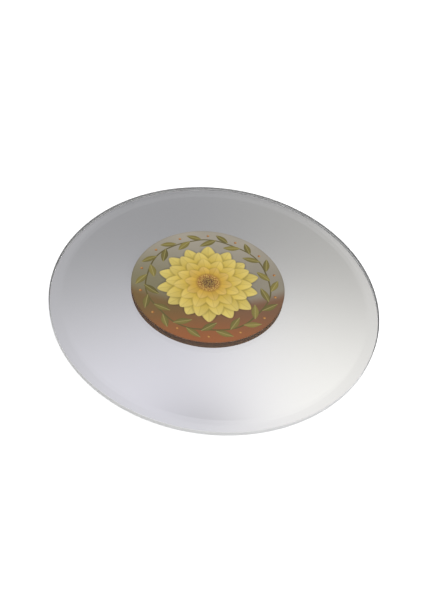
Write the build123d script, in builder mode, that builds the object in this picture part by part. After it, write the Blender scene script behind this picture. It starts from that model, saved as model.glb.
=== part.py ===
"""Round mirror candle plate.

A disc of bevelled float glass, silvered and painted on its back, with a round
printed label stuck on its face and four clear bumper feet stuck on its back.

Frame: +Z is up and the candles stand on the upper face. The origin is on the
table, under the centre of the disc. +Y is the way the label reads upwards.
All sizes are in millimetres.
"""

import math
import os

from build123d import *

# Glass disc
plate_diameter = 250.0
glass_thickness = 5.0
bevel_width = 8.7  # measured level, from the rim inwards
bevel_angle = 3.3  # degrees below the upper face
rim_arris = 0.3  # ground off the corner between the bevel and the rim
back_arris = 0.9  # ground off the back corner, so that the silver doesn't chip

# Coats on the back, thinnest first
silver_thickness = 0.02
paint_thickness = 0.08
coat_setback = 0.05  # the coats stop this short of the back's ground corner

# Printed label on the upper face
label_diameter = 118.0
label_paper_thickness = 0.10
label_adhesive_thickness = 0.03
label_adhesive_inset = 0.2  # the paper overhangs its adhesive by this much all round
label_offset_x = -6.3  # the label is stuck on by hand, a little off the centre
label_offset_y = 6.2

# Clear bumper feet
bumper_count = 4
bumper_first_angle = 45.0  # degrees from +X
bumper_diameter = 12.7
bumper_height = 3.5
bumper_wall_height = 1.4  # straight wall beside the glue face
bumper_sole_diameter = 6.0  # flat that stands on the table
bumper_inset = 26.0  # from the rim to the middle of a foot
bumper_adhesive_thickness = 0.1
bumper_adhesive_inset = 0.4  # the glue disc is this much smaller in radius

# Levels, from the table up
paint_level = bumper_height + bumper_adhesive_thickness
silver_level = paint_level + paint_thickness
glass_level = silver_level + silver_thickness
face_level = glass_level + glass_thickness
label_level = face_level + label_adhesive_thickness

# Sizes that follow from the ones above
plate_radius = plate_diameter / 2
bevel_drop = bevel_width * math.tan(math.radians(bevel_angle))
coat_radius = plate_radius - back_arris - coat_setback
label_radius = label_diameter / 2
bumper_radius = bumper_diameter / 2
bumper_ring_radius = plate_radius - bumper_inset
label_centre = (label_offset_x, label_offset_y)

FOLDER = "parts"


def write(piece, label):
    """Names a finished piece and writes it as its own file."""
    piece.label = label
    export_step(piece, f"{FOLDER}/{label}.step")
    print(f"{label}: {piece.volume:.2f} cubic millimetres")


def make_glass_disc():
    """Bevelled disc: a turned profile, with both corners of its rim ground off."""
    with BuildPart() as glass_disc:
        with BuildSketch(Plane.XZ):
            with BuildLine():
                Polyline(
                    (0, glass_level),
                    (plate_radius - back_arris, glass_level),
                    (plate_radius, glass_level + back_arris),
                    (plate_radius, face_level - bevel_drop),
                    (plate_radius - bevel_width, face_level),
                    (0, face_level),
                    close=True,
                )
            make_face()
        revolve(axis=Axis.Z)
        rim_edges = glass_disc.edges().filter_by(GeomType.CIRCLE).group_by(SortBy.RADIUS)[-1]
        chamfer(rim_edges.sort_by(Axis.Z)[-1], rim_arris)
    return glass_disc.part


def make_coat(level, thickness):
    """One coat on the back of the glass, out to just inside its ground corner."""
    with BuildPart() as coat:
        with BuildSketch(Plane.XY.offset(level)):
            Circle(coat_radius)
        extrude(amount=thickness)
    return coat.part


def make_label_layer(level, radius, thickness):
    """One round layer of the label, centred where the label is stuck."""
    with BuildPart() as layer:
        with BuildSketch(Plane.XY.offset(level)):
            with Locations(label_centre):
                Circle(radius)
        extrude(amount=thickness)
    return layer.part


def make_bumper(centre):
    """One foot: a low dome with a flat sole below and a short straight wall above."""
    sole_radius = bumper_sole_diameter / 2
    shoulder = bumper_height - bumper_wall_height
    upright = Plane(origin=centre, x_dir=(1, 0, 0), z_dir=(0, -1, 0))
    with BuildPart() as bumper:
        with BuildSketch(upright):
            with BuildLine():
                sole = Line((0, 0), (sole_radius, 0))
                dome = TangentArc(sole @ 1, (bumper_radius, shoulder), tangent=(1, 0))
                Polyline(dome @ 1, (bumper_radius, bumper_height), (0, bumper_height), sole @ 0)
            make_face()
        revolve(axis=Axis(centre, (0, 0, 1)))
    return bumper.part


def make_bumper_adhesive(centre):
    """The glue disc between one foot and the painted back."""
    with BuildPart() as glue:
        with BuildSketch(Plane.XY.offset(bumper_height)):
            with Locations(centre[:2]):
                Circle(bumper_radius - bumper_adhesive_inset)
        extrude(amount=bumper_adhesive_thickness)
    return glue.part


def bumper_centres():
    """The middle of each foot on the table, anticlockwise from the first."""
    step = math.tau / bumper_count
    first = math.radians(bumper_first_angle)
    return [
        (
            bumper_ring_radius * math.cos(first + step * turn),
            bumper_ring_radius * math.sin(first + step * turn),
            0,
        )
        for turn in range(bumper_count)
    ]


os.makedirs(FOLDER, exist_ok=True)

write(make_glass_disc(), "glass_disc")
write(make_coat(silver_level, silver_thickness), "silver_coat")
write(make_coat(paint_level, paint_thickness), "backing_paint")
write(
    make_label_layer(face_level, label_radius - label_adhesive_inset, label_adhesive_thickness),
    "label_adhesive",
)
write(make_label_layer(label_level, label_radius, label_paper_thickness), "label_paper")
for number, centre in enumerate(bumper_centres(), start=1):
    write(make_bumper(centre), f"bumper_{number}")
    write(make_bumper_adhesive(centre), f"bumper_adhesive_{number}")
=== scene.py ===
"""Looks of a round mirror candle plate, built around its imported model.

The frame is the model's: metres, +Z up, the origin on the table under the centre of
the disc, and +Y the way the label reads upwards.
"""

import math

import bmesh
import bpy
from mathutils import Matrix, Vector


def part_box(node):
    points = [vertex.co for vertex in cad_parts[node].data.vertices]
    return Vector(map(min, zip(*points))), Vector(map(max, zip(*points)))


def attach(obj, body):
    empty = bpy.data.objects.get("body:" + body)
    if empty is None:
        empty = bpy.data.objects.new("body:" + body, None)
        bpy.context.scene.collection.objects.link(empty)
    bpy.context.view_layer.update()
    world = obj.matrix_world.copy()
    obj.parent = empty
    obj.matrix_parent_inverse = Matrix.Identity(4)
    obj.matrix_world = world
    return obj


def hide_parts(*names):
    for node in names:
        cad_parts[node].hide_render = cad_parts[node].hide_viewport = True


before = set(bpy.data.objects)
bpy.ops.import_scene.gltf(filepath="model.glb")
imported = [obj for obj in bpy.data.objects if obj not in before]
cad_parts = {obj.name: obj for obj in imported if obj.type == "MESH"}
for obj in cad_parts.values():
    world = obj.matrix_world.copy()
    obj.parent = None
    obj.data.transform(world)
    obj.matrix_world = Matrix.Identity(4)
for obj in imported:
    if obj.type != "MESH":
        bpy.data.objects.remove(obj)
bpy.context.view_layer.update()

MM = 0.001

# Glass disc
BEVEL_WIDTH = 8.7 * MM
BEVEL_ANGLE = math.radians(3.3)
RIM_ARRIS = 0.3 * MM  # ground off the corner between the bevel and the rim
BACK_ARRIS = 0.9 * MM  # ground off the back corner
INNER_EDGE_ROUNDING = 0.25 * MM  # the polisher softens the bevel's inner edge
WETTING = 0.03 * MM  # the silver and the label's adhesive start this far inside the glass
GLUE_SETBACK = 0.02 * MM  # pressed down, the label's adhesive spreads almost to its edge
DISC_SEGMENTS = 288
LABEL_SEGMENTS = 192
FOOT_SEGMENTS = 64

# Feet
FOOT_COUNT = 4
SOLE_DIAMETER = 6.0 * MM
FOOT_WALL_HEIGHT = 1.4 * MM
FOOT_LIP_ROUNDING = 0.25 * MM
DOME_STEPS = 10

# Camera, with its angles in degrees
LENS = 40
SENSOR = 36
CAMERA_AZIMUTH = -6.5
CAMERA_ELEVATION = 47.19
CAMERA_ROLL = 7.83
CAMERA_DISTANCE = 499.53 * MM
CAMERA_AIM = Vector((-3.78 * MM, -11.565 * MM, 8.7 * MM))

# Floor and lamp, in metres
FLOOR_HALF = 3.0
FLOOR_SHIFT = 1.0  # from the plate to the floor's middle
FLOOR_GAP = 0.02 * MM  # the floor lies this far under the soles, so that no two faces coincide
FLOOR_SHADE = 0.8
FLOOR_LIFT = 0.64  # makes the lit floor white to the camera, in the glass and in the mirror
LAMP_PLACE = Vector((0.5, -1.2, 1.35))
LAMP_WIDTH = 1.4
LAMP_WATTS = 19.5

WHITE = (1.0, 1.0, 1.0, 1.0)
GLASS_IOR = 1.52


def colour(red, green, blue):
    """A display colour from 0 to 255, as the linear values that a shader takes."""
    def linear(value):
        share = value / 255
        return share / 12.92 if share <= 0.04045 else ((share + 0.055) / 1.055) ** 2.4
    return (linear(red), linear(green), linear(blue), 1.0)


# Room light, as the mirror shows it, by direction: x to the right, y ahead and z up
DARK_END_Z = 0.6515  # dark below this height, and less high further to the right
DARK_END_LEAN = 0.069
LIGHT_START_Z = 0.8445
LIGHT_START_LEAN = 0.119
LEFT_X = 0.004
RIGHT_X = 0.253
DARK_LEVELS = (0.338, 0.424)  # left and right
LIGHT_LEVELS = (0.766, 0.98)
DARK_TINTS = ((0.998, 0.99, 1.03, 1.0), (1.012, 0.99, 0.965, 1.0))
LIGHT_TINTS = ((1.008, 0.99, 1.085, 1.0), (1.018, 1.0, 0.98, 1.0))
DIM_PATCH = dict(middle_x=0.074, middle_z=0.8755, half_width=0.08, half_height=0.045)
DIM_PATCH_SHARE = 0.66
# Only the far bevel shows the middle patch, because the label hides it in the flat mirror
MIDDLE_PATCH = dict(middle_x=0.07, middle_z=0.712, half_width=0.125, half_height=0.045)
MIDDLE_PATCH_CORE_SHARE = 0.5  # of the squared half size, inside which the patch is full
MIDDLE_PATCH_LEVEL = 0.87
BEHIND_EDGES_Y = (0.1, -0.4)  # the room behind the camera starts and is full here
BEHIND_EDGES_Z = (0.2, 0.95)
BEHIND_LEVELS = (0.5, 0.7)  # low and high

# Print on the label: a blossom inside a wreath, in millimetres about the label's centre.
# Each pair of edges is where a change starts and where it ends.
PRINT_WAVER = 1.1  # how far the drawn lines stray
WAVER_SCALE = 60.0  # of the noise that bends them, per metre
INK_EDGE = 0.35  # width over which one printed colour turns into the next
SHAPE_EDGE_LEVEL = 0.82  # leaves and petals darken to this towards their edges

GROUND_BEND = 0.004  # how fast the brown of the ground rises towards the sides
BROWN_FULL_HEIGHT = -28.0
BROWN_END_HEIGHT = -15.0
GREY_SIDE_EDGES = (-45.0, 45.0)
GREY_HIGH_EDGES = (-5.0, 55.0)
BROWN_SIDE_EDGES = (-30.0, 35.0)
BROWN_DEEP_EDGES = (-25.0, -60.0)
GREY_HIGH = colour(163, 156, 141)
GREY_LEFT = colour(126, 120, 92)
GREY_RIGHT = colour(141, 134, 118)
BROWN_DEEP = colour(153, 91, 50)
BROWN_LEFT = colour(116, 92, 52)
BROWN_RIGHT = colour(120, 86, 60)

STEM_RADIUS = 47.8
STEM_WAVES = 7
STEM_WAVE = 0.6
STEM_HALF_WIDTH = 0.4
STEM_COLOUR = colour(96, 87, 44)

LEAF_DARK = colour(92, 85, 40)
LEAF_LIGHT = colour(138, 126, 62)
LEAF_RIB = colour(166, 156, 96)
LEAF_RINGS = (
    dict(leaves=14, middle=44.3, tilt=-32, half_length=8.0, half_width=2.8, turn=0.0, seed=11),
    dict(leaves=14, middle=51.4, tilt=32, half_length=7.4, half_width=2.6, turn=0.5, seed=23),
)
LEAF_SWAY = math.radians(16)  # between the leaves that lean least and most
LEAF_SHORTEST_SHARE = 0.85
LEAF_NARROWING_SHARE = 0.85  # width beside the tip, as a share of that beside the stem
LEAF_TONE_SHARES = (0.15, 0.85)  # darkest and lightest leaf, between the two colours
LEAF_FOLD_HALF_WIDTH = 0.3
LEAF_FOLD_SHARE = 0.25  # how much lighter the half beyond the fold is
LEAF_VEIN_PITCH = 1.6
LEAF_VEIN_LEVELS = (0.98, 1.07)
LEAF_EDGE_WIDTH = 1.2
LEAF_RIB_EDGES = (0.45, 0.1)
LEAF_RIB_SHARE = 0.7

BERRY_COUNT = 14
BERRY_MIDDLE = 53.4
BERRY_RADIUS = 1.3
BERRY_STRAY = 1.6
BERRY_SEED = 41
BERRY_GLEAM_OUT = 0.5  # from the berry's middle, as the next
BERRY_GLEAM_BACK = 0.4
BERRY_GLEAM_EDGES = (1.5, 0.1)
BERRY_DARK = colour(140, 86, 40)
BERRY_LIGHT = colour(198, 146, 78)

PETAL_BASE = colour(190, 130, 48)
PETAL_MIDDLE = colour(205, 179, 66)
PETAL_TIP = colour(222, 202, 112)
PETAL_RINGS = (
    dict(petals=14, tip=39.5, half_width=9.0, turn=0.0, tone=0.94, warmth=0.0, seed=3),
    dict(petals=14, tip=34.5, half_width=8.2, turn=0.5, tone=0.99, warmth=0.06, seed=5),
    dict(petals=12, tip=26.5, half_width=7.4, turn=0.2, tone=1.03, warmth=0.16, seed=7),
    dict(petals=10, tip=18.5, half_width=6.0, turn=0.6, tone=1.06, warmth=0.4, seed=9),
)
PETAL_REACH_SHARES = (0.93, 1.03)  # shortest and longest petal of a ring
PETAL_BASE_POWER = 0.55
PETAL_TIP_POWER = 0.62
PETAL_MIDDLE_SHARES = (0.28, 0.62)  # along a petal, where its middle colour comes in
PETAL_TIP_SHARES = (0.55, 1.0)
PETAL_LEVELS = (0.92, 1.04)  # darkest and lightest petal of a ring
PETAL_ROUND_HALF_WIDTH = 3.0
PETAL_ROUND_LEVELS = (1.05, 0.95)
PETAL_CREASE = 0.7
PETAL_CREASE_LEVEL = 0.86
PETAL_VEIN_PITCH = 2.6
PETAL_VEIN_ROOT_SHARE = 0.2  # keeps the veins apart at a petal's ends
PETAL_VEIN_LEVELS = (0.985, 1.02)
PETAL_EDGE_WIDTH = 1.1
PETAL_SHADOW = 2.6
PETAL_SHADOW_LEVEL = 0.66
PETAL_SHADOW_PAST_TIP = 2.5  # a ring's shadow ends this far outside its tips
PETAL_SHADOW_FULL_DEPTH = 5.0  # and is full this far inside them

HEART_RADIUS = 8.4
HEART_DARK_RADIUS = 2.6
HEART_SHADOW_LEVEL = 0.7
HEART_DARK = colour(90, 58, 32)
HEART_LIGHT = colour(155, 102, 45)
HEART_POLLEN = colour(212, 178, 88)
SEED_PITCH = 1.25
SEED_RANDOMNESS = 0.7
SEED_EDGES = (0.5, 0.2)
SEED_MIDDLE_SHARE = 0.55  # the seeds are fainter in the heart's dark middle

PAPER_CLOUD_SCALE = 45.0
PAPER_CLOUD_LEVELS = (0.9, 1.1)
PAPER_GRAIN_SCALE = 2200.0
PAPER_GRAIN_LEVELS = (0.95, 1.05)
PAPER_RELIEF = 0.01 * MM
PAPER_RIM_INSIDE = 1.6  # the print darkens from here to a place just past the edge
PAPER_RIM_PAST = 0.6
PAPER_RIM_LEVEL = 0.8

# Other surfaces
GRINDING_LINES_SCALE = 3000.0  # over the rim's height
PAINT_RELIEF = 0.05 * MM
BUBBLE_EDGES = (0.62, 0.68)


# Shader graphs


class Graph:
    """A node tree with one short call for each kind of node that the materials use."""

    def __init__(self, tree):
        self.tree = tree
        tree.nodes.clear()

    def add(self, kind, inputs=None, **settings):
        """A node with its settings, and its inputs as values or as other nodes' outputs."""
        node = self.tree.nodes.new(f"ShaderNode{kind}")
        for name, value in settings.items():
            setattr(node, name, value)
        for name, value in (inputs or {}).items():
            self.feed(node.inputs[name], value)
        return node

    def feed(self, socket, value):
        if isinstance(value, bpy.types.NodeSocket):
            self.tree.links.new(value, socket)
        else:
            socket.default_value = value

    def math(self, operation, *values, clamp=False):
        node = self.add("Math", operation=operation, use_clamp=clamp)
        for socket, value in zip(node.inputs, values):
            self.feed(socket, value)
        return node.outputs[0]

    def plus(self, *values):
        total = values[0]
        for value in values[1:]:
            total = self.math("ADD", total, value)
        return total

    def minus(self, first, second):
        return self.math("SUBTRACT", first, second)

    def times(self, *values):
        total = values[0]
        for value in values[1:]:
            total = self.math("MULTIPLY", total, value)
        return total

    def over(self, first, second, clamp=False):
        return self.math("DIVIDE", first, second, clamp=clamp)

    def size(self, value):
        return self.math("ABSOLUTE", value)

    def length(self, first, second):
        squares = self.plus(self.times(first, first), self.times(second, second))
        return self.math("SQRT", squares)

    def step(self, value, low, high):
        """0 below low, 1 above high and smooth between them; falls where low is over high."""
        node = self.add("MapRange", {"Value": value}, interpolation_type="SMOOTHSTEP")
        if not isinstance(low, bpy.types.NodeSocket) and low > high:
            self.feed(node.inputs["From Min"], high)
            self.feed(node.inputs["From Max"], low)
            return self.minus(1.0, node.outputs["Result"])
        self.feed(node.inputs["From Min"], low)
        self.feed(node.inputs["From Max"], high)
        return node.outputs["Result"]

    def spread(self, share, low, high):
        """low where share is 0 and high where it is 1."""
        node = self.add("MapRange", {"Value": share, "To Min": low, "To Max": high})
        return node.outputs["Result"]

    def mix(self, share, first, second):
        """first where share is 0 and second where it is 1, both colours."""
        node = self.add("Mix", data_type="RGBA")
        self.feed(node.inputs["Factor"], share)
        self.feed(node.inputs[6], first)
        self.feed(node.inputs[7], second)
        return node.outputs[2]

    def shade(self, tone, level):
        """The colour made lighter or darker by a level about 1."""
        scaled = self.add("VectorMath", {"Vector": tone, "Scale": level}, operation="SCALE")
        return scaled.outputs["Vector"]

    def noise(self, vector, scale, detail=2.0, roughness=0.5):
        return self.add(
            "TexNoise",
            {"Vector": vector, "Scale": scale, "Detail": detail, "Roughness": roughness},
        ).outputs["Fac"]

    def chance(self, number, seed):
        """A number from 0 to 1 that is the same for all points with this number."""
        noise = self.add(
            "TexWhiteNoise", {"W": self.plus(number, float(seed))}, noise_dimensions="1D"
        )
        return noise.outputs["Value"]

    def place(self):
        """The point on the piece, in the row frame."""
        return self.add("TexCoord").outputs["Object"]

    def output(self, shader):
        self.add("OutputMaterial", {"Surface": shader})


def new_material(name):
    material = bpy.data.materials.new(name)
    material.use_nodes = True
    return material, Graph(material.node_tree)


# Label print


class PrintPlace:
    """Where a point of the label lies: across, up, and as an angle and a radius."""

    def __init__(self, g, centre):
        point = g.place()
        stray = g.add("TexNoise", {"Vector": point, "Scale": WAVER_SCALE, "Detail": 2.0})
        bend = g.add("SeparateColor", {"Color": stray.outputs["Color"]})
        parts = g.add("SeparateXYZ", {"Vector": point})
        self.point = point
        self.across = self.from_centre(g, parts.outputs["X"], centre[0], bend.outputs["Red"])
        self.up = self.from_centre(g, parts.outputs["Y"], centre[1], bend.outputs["Green"])
        self.radius = g.length(self.across, self.up)
        self.angle = g.math("ARCTAN2", self.up, self.across)

    @staticmethod
    def from_centre(g, coordinate, middle, bend):
        plain = g.over(g.minus(coordinate, middle), MM)
        return g.plus(plain, g.times(g.minus(bend, 0.5), PRINT_WAVER))


def in_sector(g, place, count, turn):
    """The sector's number, and the point's place along and across the sector's middle line."""
    sectors = g.plus(g.times(place.angle, count / math.tau), turn)
    number = g.math("FLOOR", sectors)
    off = g.times(g.minus(g.minus(sectors, number), 0.5), math.tau / count)
    along = g.times(place.radius, g.math("COSINE", off))
    across = g.times(place.radius, g.math("SINE", off))
    return g.math("FLOORED_MODULO", number, float(count)), along, across


def ground_print(g, place):
    """Warm grey above a soft brown lower part."""
    height = g.minus(place.up, g.times(place.across, place.across, GROUND_BEND))
    grey = g.mix(g.step(place.across, *GREY_SIDE_EDGES), GREY_LEFT, GREY_RIGHT)
    grey = g.mix(g.step(place.up, *GREY_HIGH_EDGES), grey, GREY_HIGH)
    brown = g.mix(g.step(place.across, *BROWN_SIDE_EDGES), BROWN_LEFT, BROWN_RIGHT)
    brown = g.mix(g.step(place.up, *BROWN_DEEP_EDGES), brown, BROWN_DEEP)
    return g.mix(g.step(height, BROWN_FULL_HEIGHT, BROWN_END_HEIGHT), brown, grey)


def stem_print(g, under, place):
    wave = g.times(g.math("SINE", g.times(place.angle, float(STEM_WAVES))), STEM_WAVE)
    off = g.size(g.minus(g.plus(place.radius, wave), STEM_RADIUS))
    return g.mix(g.step(off, STEM_HALF_WIDTH + INK_EDGE, STEM_HALF_WIDTH), under, STEM_COLOUR)


def leaf_print(g, under, place, leaves, middle, tilt, half_length, half_width, turn, seed):
    """One ring of pointed leaves, each leaning away from the stem."""
    number, along, across = in_sector(g, place, leaves, turn)
    lean = g.times(g.minus(g.chance(number, seed), 0.5), LEAF_SWAY)
    lean = g.plus(lean, math.radians(tilt))
    cosine = g.math("COSINE", lean)
    sine = g.math("SINE", lean)
    out = g.minus(along, middle)
    lengthwise = g.plus(g.times(across, cosine), g.times(out, sine))
    sideways = g.minus(g.times(out, cosine), g.times(across, sine))
    off = g.size(sideways)
    shortest = LEAF_SHORTEST_SHARE * half_length
    share = g.over(lengthwise, g.spread(g.chance(number, seed + 1), shortest, half_length))
    taper = g.minus(1.0, g.times(share, share))
    width = g.times(taper, g.spread(share, 1.0, LEAF_NARROWING_SHARE), half_width)
    depth = g.minus(width, off)
    tone = g.spread(g.chance(number, seed + 2), *LEAF_TONE_SHARES)
    beyond_fold = g.step(sideways, -LEAF_FOLD_HALF_WIDTH, LEAF_FOLD_HALF_WIDTH)
    tone = g.plus(tone, g.times(beyond_fold, LEAF_FOLD_SHARE))
    leaf = g.mix(tone, LEAF_DARK, LEAF_LIGHT)
    slant = g.times(g.plus(lengthwise, off), math.tau / LEAF_VEIN_PITCH)
    leaf = g.shade(leaf, g.spread(g.math("SINE", slant), *LEAF_VEIN_LEVELS))
    leaf = g.shade(leaf, g.spread(g.step(depth, 0.0, LEAF_EDGE_WIDTH), SHAPE_EDGE_LEVEL, 1.0))
    leaf = g.mix(g.times(g.step(off, *LEAF_RIB_EDGES), LEAF_RIB_SHARE), leaf, LEAF_RIB)
    return g.mix(g.step(depth, -INK_EDGE / 2, INK_EDGE / 2), under, leaf)


def berry_print(g, under, place):
    """A ring of small berries, each with a gleam beside its middle."""
    number, along, across = in_sector(g, place, BERRY_COUNT, 0.0)
    stray = g.times(g.chance(number, BERRY_SEED), BERRY_STRAY)
    out = g.plus(g.minus(along, BERRY_MIDDLE), stray)
    away = g.length(out, across)
    from_gleam = g.length(g.minus(out, BERRY_GLEAM_OUT), g.plus(across, BERRY_GLEAM_BACK))
    berry = g.mix(g.step(from_gleam, *BERRY_GLEAM_EDGES), BERRY_DARK, BERRY_LIGHT)
    return g.mix(g.step(away, BERRY_RADIUS, BERRY_RADIUS - INK_EDGE), under, berry)


def petal_print(g, under, place, petals, tip, half_width, turn, tone, warmth, seed):
    """One ring of petals, with a soft shadow on what lies under it."""
    number, along, across = in_sector(g, place, petals, turn)
    reach = g.times(g.spread(g.chance(number, seed), *PETAL_REACH_SHARES), tip)
    share = g.over(along, reach, clamp=True)
    from_base = g.math("POWER", share, PETAL_BASE_POWER)
    from_tip = g.math("POWER", g.minus(1.0, share), PETAL_TIP_POWER)
    swell = g.times(from_base, from_tip)
    width = g.times(swell, 2.0 * half_width)
    off = g.size(across)
    past_tip = g.math("MAXIMUM", g.minus(along, reach), 0.0)
    depth = g.minus(g.minus(width, off), past_tip)
    petal = g.mix(g.step(share, *PETAL_MIDDLE_SHARES), PETAL_BASE, PETAL_MIDDLE)
    petal = g.mix(g.step(share, *PETAL_TIP_SHARES), petal, PETAL_TIP)
    petal = g.mix(warmth, petal, PETAL_BASE)
    darkest, lightest = (level * tone for level in PETAL_LEVELS)
    level = g.spread(g.chance(number, seed + 1), darkest, lightest)
    rounding = g.step(across, -PETAL_ROUND_HALF_WIDTH, PETAL_ROUND_HALF_WIDTH)
    level = g.times(level, g.spread(rounding, *PETAL_ROUND_LEVELS))
    level = g.times(level, g.spread(g.step(off, 0.0, PETAL_CREASE), PETAL_CREASE_LEVEL, 1.0))
    fan = g.over(across, g.plus(swell, PETAL_VEIN_ROOT_SHARE))
    lines = g.math("SINE", g.times(fan, math.tau / PETAL_VEIN_PITCH))
    level = g.times(level, g.spread(lines, *PETAL_VEIN_LEVELS))
    level = g.times(level, g.spread(g.step(depth, 0.0, PETAL_EDGE_WIDTH), SHAPE_EDGE_LEVEL, 1.0))
    petal = g.shade(petal, level)
    shadow = g.spread(g.step(depth, -PETAL_SHADOW, 0.0), 1.0, PETAL_SHADOW_LEVEL)
    shadow_edges = (tip + PETAL_SHADOW_PAST_TIP, tip - PETAL_SHADOW_FULL_DEPTH)
    shadow = g.spread(g.step(place.radius, *shadow_edges), 1.0, shadow)
    under = g.shade(under, shadow)
    return g.mix(g.step(depth, -INK_EDGE / 2, INK_EDGE / 2), under, petal)


def heart_print(g, under, place):
    """The blossom's brown heart, dotted with seeds inside a ring of pollen."""
    cells = g.add(
        "TexVoronoi",
        {
            "Vector": place.point,
            "Scale": 1 / (SEED_PITCH * MM),
            "Randomness": SEED_RANDOMNESS,
        },
        voronoi_dimensions="2D",
    )
    seeds = g.step(cells.outputs["Distance"], *SEED_EDGES)
    inside = g.step(place.radius, HEART_RADIUS, HEART_DARK_RADIUS)
    brown = g.mix(inside, HEART_LIGHT, HEART_DARK)
    heart = g.mix(g.times(seeds, g.spread(inside, 1.0, SEED_MIDDLE_SHARE)), brown, HEART_POLLEN)
    shadow = g.step(place.radius, HEART_RADIUS + PETAL_SHADOW, HEART_RADIUS)
    under = g.shade(under, g.spread(shadow, 1.0, HEART_SHADOW_LEVEL))
    return g.mix(g.step(place.radius, HEART_RADIUS + INK_EDGE, HEART_RADIUS), under, heart)


def make_label_print(centre, radius):
    material, g = new_material("label_print")
    place = PrintPlace(g, centre)
    tone = ground_print(g, place)
    tone = stem_print(g, tone, place)
    for ring in LEAF_RINGS:
        tone = leaf_print(g, tone, place, **ring)
    tone = berry_print(g, tone, place)
    for ring in PETAL_RINGS:
        tone = petal_print(g, tone, place, **ring)
    tone = heart_print(g, tone, place)
    cloud = g.noise(place.point, PAPER_CLOUD_SCALE, detail=3.0)
    tone = g.shade(tone, g.spread(cloud, *PAPER_CLOUD_LEVELS))
    grain = g.noise(place.point, PAPER_GRAIN_SCALE)
    tone = g.shade(tone, g.spread(grain, *PAPER_GRAIN_LEVELS))
    rim = g.step(place.radius, radius / MM - PAPER_RIM_INSIDE, radius / MM + PAPER_RIM_PAST)
    tone = g.shade(tone, g.spread(rim, 1.0, PAPER_RIM_LEVEL))
    bump = g.add("Bump", {"Height": grain, "Distance": PAPER_RELIEF, "Strength": 0.3})
    shader = g.add("BsdfPrincipled", {
        "Base Color": tone,
        "Roughness": g.spread(grain, 0.34, 0.46),
        "Normal": bump.outputs[0],
    })
    g.output(shader.outputs[0])
    return material


# Other materials


def make_clear_glass():
    material, g = new_material("clear_glass")
    smears = g.noise(g.place(), scale=35.0, detail=4.0)
    shader = g.add("BsdfPrincipled", {
        "Base Color": (0.985, 0.995, 0.99, 1.0),
        "Roughness": g.spread(smears, 0.0, 0.012),
        "IOR": GLASS_IOR,
        "Transmission Weight": 1.0,
    })
    g.output(shader.outputs[0])
    return material


def make_ground_rim():
    """Satin ground glass that lets some light through, with the wheel's fine lines along it."""
    material, g = new_material("ground_rim")
    part = g.add("SeparateXYZ", {"Vector": g.place()})
    turn = g.math("ARCTAN2", part.outputs["Y"], part.outputs["X"])
    height = g.times(part.outputs["Z"], GRINDING_LINES_SCALE)
    lines = g.add("CombineXYZ", {"X": turn, "Y": height})
    grain = g.noise(lines.outputs[0], scale=2.0, detail=5.0, roughness=0.7)
    shader = g.add("BsdfPrincipled", {
        "Base Color": g.mix(grain, (0.93, 0.935, 0.93, 1.0), (0.985, 0.99, 0.985, 1.0)),
        "Roughness": g.spread(grain, 0.5, 0.65),
        "IOR": GLASS_IOR,
        "Transmission Weight": 0.43,
    })
    g.output(shader.outputs[0])
    return material


def make_ground_corner(radius):
    """Coarser grinding of the back corner. Its colour is painted dark towards its outer edge:
    painted shade.
    """
    material, g = new_material("painted_shade_ground_corner")
    place = g.place()
    part = g.add("SeparateXYZ", {"Vector": place})
    painted_rim_shade = g.step(g.length(part.outputs["X"], part.outputs["Y"]), radius - BACK_ARRIS, radius)
    grain = g.noise(place, scale=1800.0, detail=4.0, roughness=0.6)
    # painted shade: pale beside the silver and dark at the outer edge, to make the dark line along
    # the rim
    tone = g.mix(painted_rim_shade, (0.92, 0.925, 0.92, 1.0), (0.15, 0.155, 0.15, 1.0))
    shader = g.add("BsdfPrincipled", {
        "Base Color": g.shade(tone, g.spread(grain, 0.85, 1.07)),
        "Roughness": g.spread(grain, 0.38, 0.52),
        "IOR": GLASS_IOR,
        "Transmission Weight": 0.25,
    })
    g.output(shader.outputs[0])
    return material


def make_silver():
    material, g = new_material("silver")
    cloud = g.noise(g.place(), scale=12.0)
    shader = g.add("BsdfPrincipled", {
        "Base Color": g.mix(cloud, (0.95, 0.95, 0.945, 1.0), (0.965, 0.965, 0.96, 1.0)),
        "Metallic": 1.0,
        "Roughness": g.spread(cloud, 0.0, 0.01),
    })
    g.output(shader.outputs[0])
    return material


def make_backing_paint():
    material, g = new_material("backing_paint")
    place = g.place()
    mottle = g.noise(place, scale=60.0, detail=4.0)
    peel = g.noise(place, scale=900.0, detail=1.0)
    bump = g.add("Bump", {"Height": peel, "Distance": PAINT_RELIEF, "Strength": 0.6})
    shader = g.add("BsdfPrincipled", {
        "Base Color": g.mix(mottle, colour(140, 143, 147), colour(156, 158, 161)),
        "Roughness": g.spread(mottle, 0.42, 0.6),
        "Normal": bump.outputs[0],
    })
    g.output(shader.outputs[0])
    return material


def make_foot_plastic():
    material, g = new_material("clear_polyurethane")
    haze = g.noise(g.place(), scale=300.0, detail=3.0)
    shader = g.add("BsdfPrincipled", {
        "Base Color": (0.93, 0.95, 0.95, 1.0),
        "Roughness": g.spread(haze, 0.05, 0.2),
        "IOR": 1.5,
        "Transmission Weight": 0.6,
    })
    g.output(shader.outputs[0])
    return material


def make_foot_adhesive():
    material, g = new_material("foot_adhesive")
    bubbles = g.step(g.noise(g.place(), scale=1500.0, detail=1.0), *BUBBLE_EDGES)
    shader = g.add("BsdfPrincipled", {
        "Base Color": g.mix(bubbles, colour(176, 178, 176), colour(208, 209, 205)),
        "Roughness": g.spread(bubbles, 0.25, 0.5),
    })
    g.output(shader.outputs[0])
    return material


def make_paper_core():
    material, g = new_material("paper_core")
    fibres = g.noise(g.place(), scale=2500.0, detail=4.0)
    shader = g.add("BsdfPrincipled", {
        "Base Color": g.mix(fibres, colour(176, 164, 144), colour(198, 188, 170)),
        "Roughness": 0.8,
    })
    g.output(shader.outputs[0])
    return material


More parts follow.
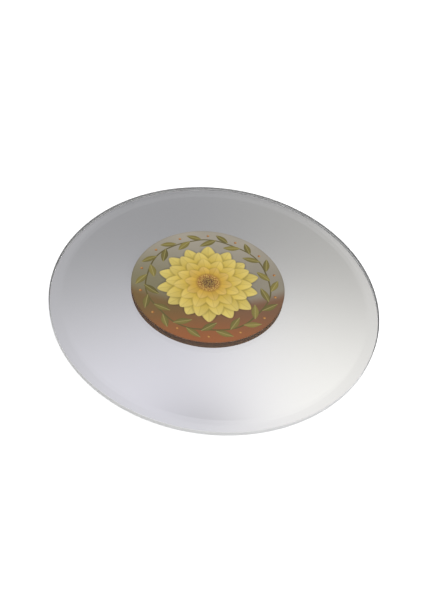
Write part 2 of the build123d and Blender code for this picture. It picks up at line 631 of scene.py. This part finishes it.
def make_label_back():
    """Brown kraft back of the label, as the glue wets it."""
    material, g = new_material("label_back")
    fibres = g.noise(g.place(), scale=900.0, detail=4.0)
    shader = g.add("BsdfPrincipled", {
        "Base Color": g.mix(fibres, (0.68, 0.36, 0.16, 1.0), (0.84, 0.46, 0.22, 1.0)),
        "Roughness": g.spread(fibres, 0.5, 0.7),
    })
    g.output(shader.outputs[0])
    return material


# Pieces


def turned_piece(name, profile, centre, segments):
    """A closed body of revolution about a vertical axis through centre.

    profile is a list of (radius, height, material of the band from here on, sharp ring)
    that runs from one end of the axis to the other. Radius 0 closes an end.
    """
    materials = list(dict.fromkeys(material for _, _, material, _ in profile if material))
    mesh = bmesh.new()
    rings = []
    for radius, height, _, _ in profile:
        if radius == 0:
            rings.append([mesh.verts.new((centre[0], centre[1], height))])
            continue
        ring = []
        for segment in range(segments):
            turn = math.tau * segment / segments
            x = centre[0] + radius * math.cos(turn)
            y = centre[1] + radius * math.sin(turn)
            ring.append(mesh.verts.new((x, y, height)))
        rings.append(ring)
    for lower, upper, (_, _, material, _) in zip(rings, rings[1:], profile):
        for segment in range(segments):
            after = (segment + 1) % segments
            corners = [lower[segment % len(lower)], lower[after % len(lower)]]
            corners += [upper[after % len(upper)], upper[segment % len(upper)]]
            face = mesh.faces.new(list(dict.fromkeys(corners)))
            face.smooth = True
            face.material_index = materials.index(material)
    for ring, (_, _, _, sharp) in zip(rings, profile):
        if sharp and len(ring) > 1:
            for first, second in zip(ring, ring[1:] + ring[:1]):
                mesh.edges.get((first, second)).smooth = False
    bmesh.ops.recalc_face_normals(mesh, faces=mesh.faces)
    data = bpy.data.meshes.new(name)
    mesh.to_mesh(data)
    mesh.free()
    for material in materials:
        data.materials.append(material)
    piece = bpy.data.objects.new(name, data)
    bpy.context.scene.collection.objects.link(piece)
    return piece


def stand_in(piece, slot, *nodes):
    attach(piece, "root")
    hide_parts(*nodes)


def dress_node(node, material):
    """Gives a CAD node that keeps its own shape its material."""
    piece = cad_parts[node]
    piece.data.materials.clear()
    piece.data.materials.append(material)


def make_glass():
    low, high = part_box("glass_disc")
    radius = (high.x - low.x) / 2
    bottom, top = low.z, high.z
    clear = make_clear_glass()
    ground = make_ground_rim()
    corner = make_ground_corner(radius)
    inner = radius - BEVEL_WIDTH
    rim_top = top - BEVEL_WIDTH * math.tan(BEVEL_ANGLE)
    arris_in = RIM_ARRIS * math.cos(BEVEL_ANGLE)
    arris_up = RIM_ARRIS * math.sin(BEVEL_ANGLE)
    soft_out = INNER_EDGE_ROUNDING * math.cos(BEVEL_ANGLE)
    soft_drop = INNER_EDGE_ROUNDING * math.sin(BEVEL_ANGLE)
    profile = [
        (0, bottom, clear, False),
        (radius / 2, bottom, clear, False),
        (radius - BACK_ARRIS, bottom, corner, True),
        (radius, bottom + BACK_ARRIS, ground, True),
        (radius, rim_top - RIM_ARRIS, ground, True),
        (radius - arris_in, rim_top + arris_up, clear, True),
        (inner + soft_out, top - soft_drop, clear, False),
        (inner - INNER_EDGE_ROUNDING, top, clear, False),
        (radius / 2, top, clear, False),
        (0, top, None, False),
    ]
    stand_in(turned_piece("mirror_glass", profile, (0, 0), DISC_SEGMENTS), "glass", "glass_disc")


def make_silver_coat():
    low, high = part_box("silver_coat")
    radius = (high.x - low.x) / 2
    silver = make_silver()
    face = high.z + WETTING
    profile = [
        (0, low.z, silver, False),
        (radius, low.z, silver, True),
        (radius, face, silver, True),
        (0, face, None, False),
    ]
    coat = turned_piece("silver_back", profile, (0, 0), DISC_SEGMENTS)
    stand_in(coat, "silver", "silver_coat")


def make_label():
    """The printed paper and the glued back under it."""
    low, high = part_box("label_paper")
    centre = ((low.x + high.x) / 2, (low.y + high.y) / 2)
    radius = (high.x - low.x) / 2
    core = make_paper_core()
    printed = make_label_print(centre, radius)
    profile = [
        (0, low.z, core, False),
        (radius, low.z, core, True),
        (radius, high.z, printed, True),
        (radius / 2, high.z, printed, False),
        (0, high.z, None, False),
    ]
    paper = turned_piece("printed_label", profile, centre, LABEL_SEGMENTS)
    stand_in(paper, "label_paper", "label_paper")

    low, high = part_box("label_adhesive")
    glued_radius = radius - GLUE_SETBACK
    back = make_label_back()
    under = low.z - WETTING
    profile = [
        (0, under, back, False),
        (glued_radius, under, back, True),
        (glued_radius, high.z, back, True),
        (0, high.z, None, False),
    ]
    film = turned_piece("label_film", profile, centre, LABEL_SEGMENTS)
    stand_in(film, "label_adhesive", "label_adhesive")


def foot_profile(low, high, plastic):
    """A low dome, level at the sole's edge, with a short wall and a softened lip above."""
    radius = (high.x - low.x) / 2
    shoulder = high.z - low.z - FOOT_WALL_HEIGHT
    sole = SOLE_DIAMETER / 2
    reach = radius - sole
    dome_radius = (reach ** 2 + shoulder ** 2) / (2 * shoulder)
    sweep = math.asin(reach / dome_radius)
    profile = [(0, low.z, plastic, False)]
    for step in range(DOME_STEPS + 1):
        turn = sweep * step / DOME_STEPS
        out = sole + dome_radius * math.sin(turn)
        up = dome_radius * (1 - math.cos(turn))
        profile.append((out, low.z + up, plastic, step == DOME_STEPS))
    profile += [
        (radius, high.z - FOOT_LIP_ROUNDING, plastic, False),
        (radius - FOOT_LIP_ROUNDING, high.z, plastic, True),
        (0, high.z, None, False),
    ]
    return profile


def make_feet():
    plastic = make_foot_plastic()
    adhesive = make_foot_adhesive()
    for number in range(1, FOOT_COUNT + 1):
        low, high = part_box(f"bumper_{number}")
        centre = ((low.x + high.x) / 2, (low.y + high.y) / 2)
        profile = foot_profile(low, high, plastic)
        foot = turned_piece(f"clear_foot_{number}", profile, centre, FOOT_SEGMENTS)
        stand_in(foot, "bumper", f"bumper_{number}")
        dress_node(f"bumper_adhesive_{number}", adhesive)


# Surroundings


def squares_away(g, x, z, middle_x, middle_z, half_width, half_height):
    """How far a direction lies from a patch's middle, squared, and 1 at the patch's half sizes."""
    across = g.over(g.minus(x, middle_x), half_width)
    along = g.over(g.minus(z, middle_z), half_height)
    return g.plus(g.times(across, across), g.times(along, along))


def make_world():
    """A softly graded room, darker low down and bright overhead, seen in the mirror."""
    world = bpy.data.worlds.new("room")
    bpy.context.scene.world = world
    world.use_nodes = True
    g = Graph(world.node_tree)
    direction = g.add("TexCoord").outputs["Generated"]
    part = g.add("SeparateXYZ", {"Vector": direction})
    x, y, z = (part.outputs[axis] for axis in "XYZ")
    dark_end = g.minus(DARK_END_Z, g.times(x, DARK_END_LEAN))
    light_start = g.minus(LIGHT_START_Z, g.times(x, LIGHT_START_LEAN))
    glow = g.step(z, dark_end, light_start)
    side = g.step(x, LEFT_X, RIGHT_X)
    dark = g.spread(side, *DARK_LEVELS)
    level = g.plus(dark, g.times(g.minus(g.spread(side, *LIGHT_LEVELS), dark), glow))
    patch = g.math("EXPONENT", g.minus(0.0, squares_away(g, x, z, **DIM_PATCH)))
    level = g.times(level, g.minus(1.0, g.times(patch, DIM_PATCH_SHARE)))
    middle = g.step(squares_away(g, x, z, **MIDDLE_PATCH), 1.0, MIDDLE_PATCH_CORE_SHARE)
    level = g.times(level, g.spread(middle, 1.0, MIDDLE_PATCH_LEVEL))
    behind = g.step(y, *BEHIND_EDGES_Y)
    behind_level = g.spread(g.step(z, *BEHIND_EDGES_Z), *BEHIND_LEVELS)
    level = g.plus(g.times(level, g.minus(1.0, behind)), g.times(behind, behind_level))
    tint = g.mix(glow, g.mix(side, *DARK_TINTS), g.mix(side, *LIGHT_TINTS))
    tint = g.mix(behind, tint, WHITE)
    room = g.add("Background", {"Color": tint, "Strength": level})
    white = g.add("Background", {"Color": WHITE, "Strength": 1.0})
    seen = g.add("LightPath").outputs["Is Camera Ray"]
    both = g.add("MixShader", {"Fac": seen})
    g.feed(both.inputs[1], room.outputs[0])
    g.feed(both.inputs[2], white.outputs[0])
    g.add("OutputWorld", {"Surface": both.outputs[0]})


def make_lamp():
    """A wide soft lamp beyond the camera and to its right, kept out of the mirror."""
    data = bpy.data.lights.new("soft_lamp", "AREA")
    data.shape = "DISK"
    data.size = LAMP_WIDTH
    data.energy = LAMP_WATTS
    lamp = bpy.data.objects.new("soft_lamp", data)
    bpy.context.scene.collection.objects.link(lamp)
    lamp.location = LAMP_PLACE
    lamp.rotation_euler = LAMP_PLACE.to_track_quat("Z", "Y").to_euler()
    lamp.visible_glossy = False
    lamp.visible_transmission = False


def make_floor():
    """A wide white floor, set so that the line between its two triangles misses the plate."""
    corners = [(-1, -1), (1, -1), (1, 1), (-1, 1)]
    points = [(x * FLOOR_HALF, y * FLOOR_HALF + FLOOR_SHIFT, -FLOOR_GAP) for x, y in corners]
    data = bpy.data.meshes.new("floor")
    data.from_pydata(points, [], [(0, 1, 2, 3)])
    floor = bpy.data.objects.new("floor", data)
    bpy.context.scene.collection.objects.link(floor)
    material, g = new_material("floor_white")
    diffuse = g.add("BsdfDiffuse", {"Color": (FLOOR_SHADE, FLOOR_SHADE, FLOOR_SHADE, 1.0)})
    lift = g.add("Emission", {"Color": WHITE, "Strength": FLOOR_LIFT})
    both = g.add("AddShader")
    g.feed(both.inputs[0], diffuse.outputs[0])
    g.feed(both.inputs[1], lift.outputs[0])
    path = g.add("LightPath")
    seen = g.math("MAXIMUM", path.outputs["Is Camera Ray"], path.outputs["Is Glossy Ray"])
    seen = g.math("MAXIMUM", seen, path.outputs["Is Transmission Ray"])
    shown = g.add("MixShader", {"Fac": seen})
    g.feed(shown.inputs[1], diffuse.outputs[0])
    g.feed(shown.inputs[2], both.outputs[0])
    # from below the floor is left open, so that the feet can be looked at
    below = g.add("MixShader", {"Fac": g.add("NewGeometry").outputs["Backfacing"]})
    g.feed(below.inputs[1], shown.outputs[0])
    g.feed(below.inputs[2], g.add("BsdfTransparent").outputs[0])
    g.output(below.outputs[0])
    data.materials.append(material)


def make_camera():
    data = bpy.data.cameras.new("camera")
    data.lens = LENS
    data.sensor_width = SENSOR
    camera = bpy.data.objects.new("camera", data)
    bpy.context.scene.collection.objects.link(camera)
    azimuth = math.radians(CAMERA_AZIMUTH)
    elevation = math.radians(CAMERA_ELEVATION)
    roll = math.radians(CAMERA_ROLL)
    back = Vector((
        math.sin(azimuth) * math.cos(elevation),
        -math.cos(azimuth) * math.cos(elevation),
        math.sin(elevation),
    ))
    level = Vector((math.cos(azimuth), math.sin(azimuth), 0))
    upright = back.cross(level)
    right = level * math.cos(roll) + upright * math.sin(roll)
    up = upright * math.cos(roll) - level * math.sin(roll)
    turn = Matrix((right, up, back)).transposed().to_4x4()
    camera.matrix_world = Matrix.Translation(CAMERA_AIM + back * CAMERA_DISTANCE) @ turn
    bpy.context.scene.camera = camera


make_glass()
make_silver_coat()
make_label()
dress_node("backing_paint", make_backing_paint())
make_feet()
make_world()
make_lamp()
make_floor()
make_camera()
bpy.context.scene.view_settings.view_transform = "Standard"
